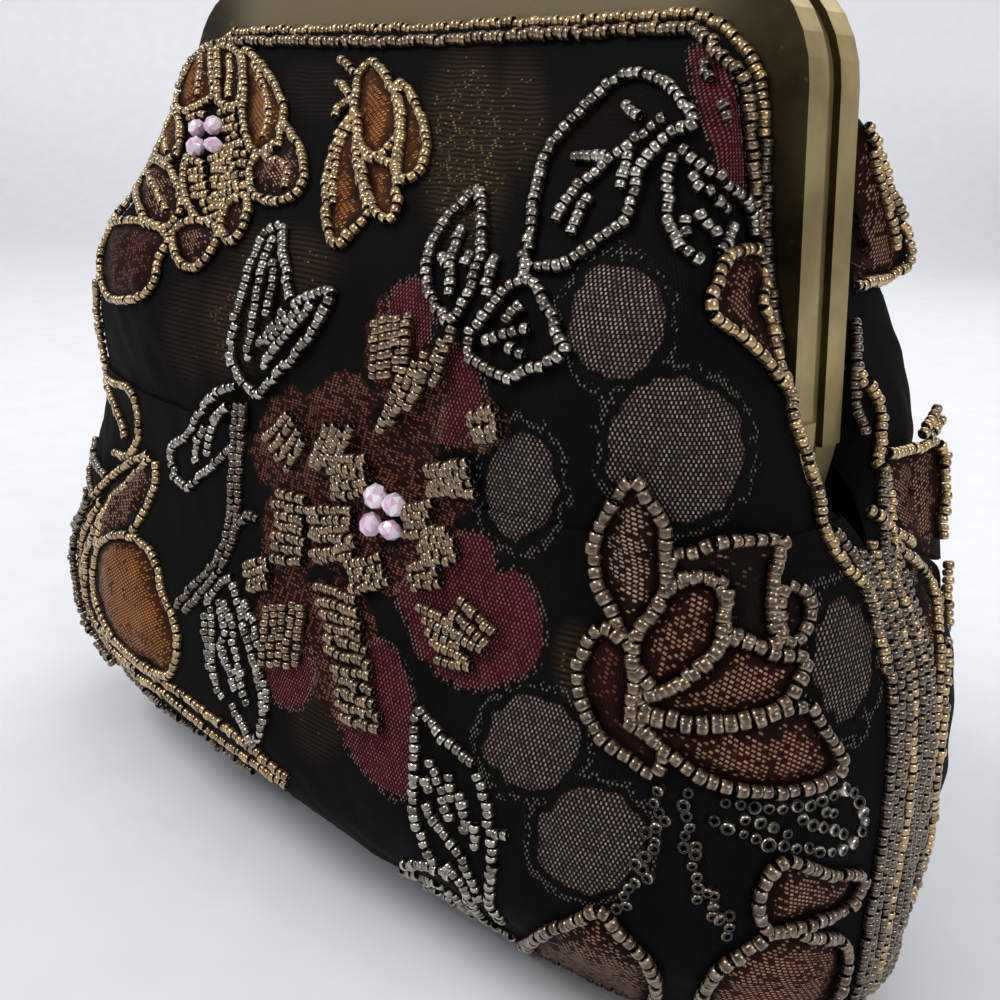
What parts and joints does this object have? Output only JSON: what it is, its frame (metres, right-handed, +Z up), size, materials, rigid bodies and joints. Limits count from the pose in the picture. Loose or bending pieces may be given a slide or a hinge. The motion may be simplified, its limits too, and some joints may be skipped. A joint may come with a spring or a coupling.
{
  "type": "handbag",
  "caption": "Beaded floral brocade evening purse with a hinged brass kiss-lock frame, padded body, beaded side seams and satin lining",
  "frame": {"origin": "Middle of the flat base, on the surface that the bag stands on", "axes": "+Z up, X along the frame, the front panel faces -Y"},
  "size_m": [0.226, 0.1138, 0.1912],
  "materials": {
    "antique_brass": "satin antique",
    "polished_brass": "polished antique",
    "dark_brass": "dark patina",
    "black_brocade": "woven satin brocade with metallic thread",
    "satin_lining": "satin",
    "padding": "matte wadding",
    "base_board": "matte",
    "paper_cord": "matte twisted",
    "gold_beads": "silver-lined gloss",
    "copper_beads": "metallic gloss",
    "silver_beads": "silver-lined gloss",
    "dark_beads": "gloss",
    "crystal": "faceted iridescent"
  },
  "bodies": {
    "pouch": {"hinge_rivets": "dark_brass", "front_fold": "black_brocade", "rear_fold": "black_brocade", "front_lower_panel": "black_brocade", "rear_lower_panel": "black_brocade", "front_lower_padding": "padding", "rear_lower_padding": "padding", "front_lining_fold": "satin_lining", "rear_lining_fold": "satin_lining", "lower_lining": "satin_lining", "inner_pocket": "satin_lining", "base_panel": "black_brocade", "base_board": "base_board", "base_bead_piping": "dark_beads", "left_side_beads": "gold_beads", "right_side_beads": "gold_beads", "front_rose_beads": "copper_beads", "front_flower_beads": "gold_beads", "front_leaf_beads": "silver_beads", "front_petal_beads": "copper_beads", "rear_lower_beads": "copper_beads", "front_lower_crystals": "crystal", "rear_lower_crystals": "crystal"},
    "front_half": {"front_frame": "antique_brass", "front_clasp_knob": "polished_brass", "front_channel_cord": "paper_cord", "front_upper_panel": "black_brocade", "front_upper_padding": "padding", "front_upper_lining": "satin_lining", "front_frame_beads": "gold_beads", "front_upper_flower_beads": "gold_beads", "front_upper_leaf_beads": "silver_beads", "front_upper_crystals": "crystal"},
    "rear_half": {"rear_frame": "antique_brass", "rear_clasp_knob": "polished_brass", "rear_channel_cord": "paper_cord", "rear_upper_panel": "black_brocade", "rear_upper_padding": "padding", "rear_upper_lining": "satin_lining", "rear_frame_beads": "gold_beads", "rear_upper_beads": "silver_beads", "rear_upper_crystals": "crystal"}
  },
  "joints": [
    {"name": "front_hinge", "type": "hinge", "parent": "pouch", "child": "front_half", "pos_m": [0, 0, 0.0925], "axis": [1, 0, 0], "range_deg": [0, 30], "deforming": ["front_fold", "front_lining_fold"]},
    {"name": "rear_hinge", "type": "hinge", "parent": "pouch", "child": "rear_half", "pos_m": [0, 0, 0.0925], "axis": [1, 0, 0], "range_deg": [-30, 0], "deforming": ["rear_fold", "rear_lining_fold"]}
  ],
  "couplings": [
    {"joint": "rear_hinge", "follows": "front_hinge", "ratio": -1}
  ]
}
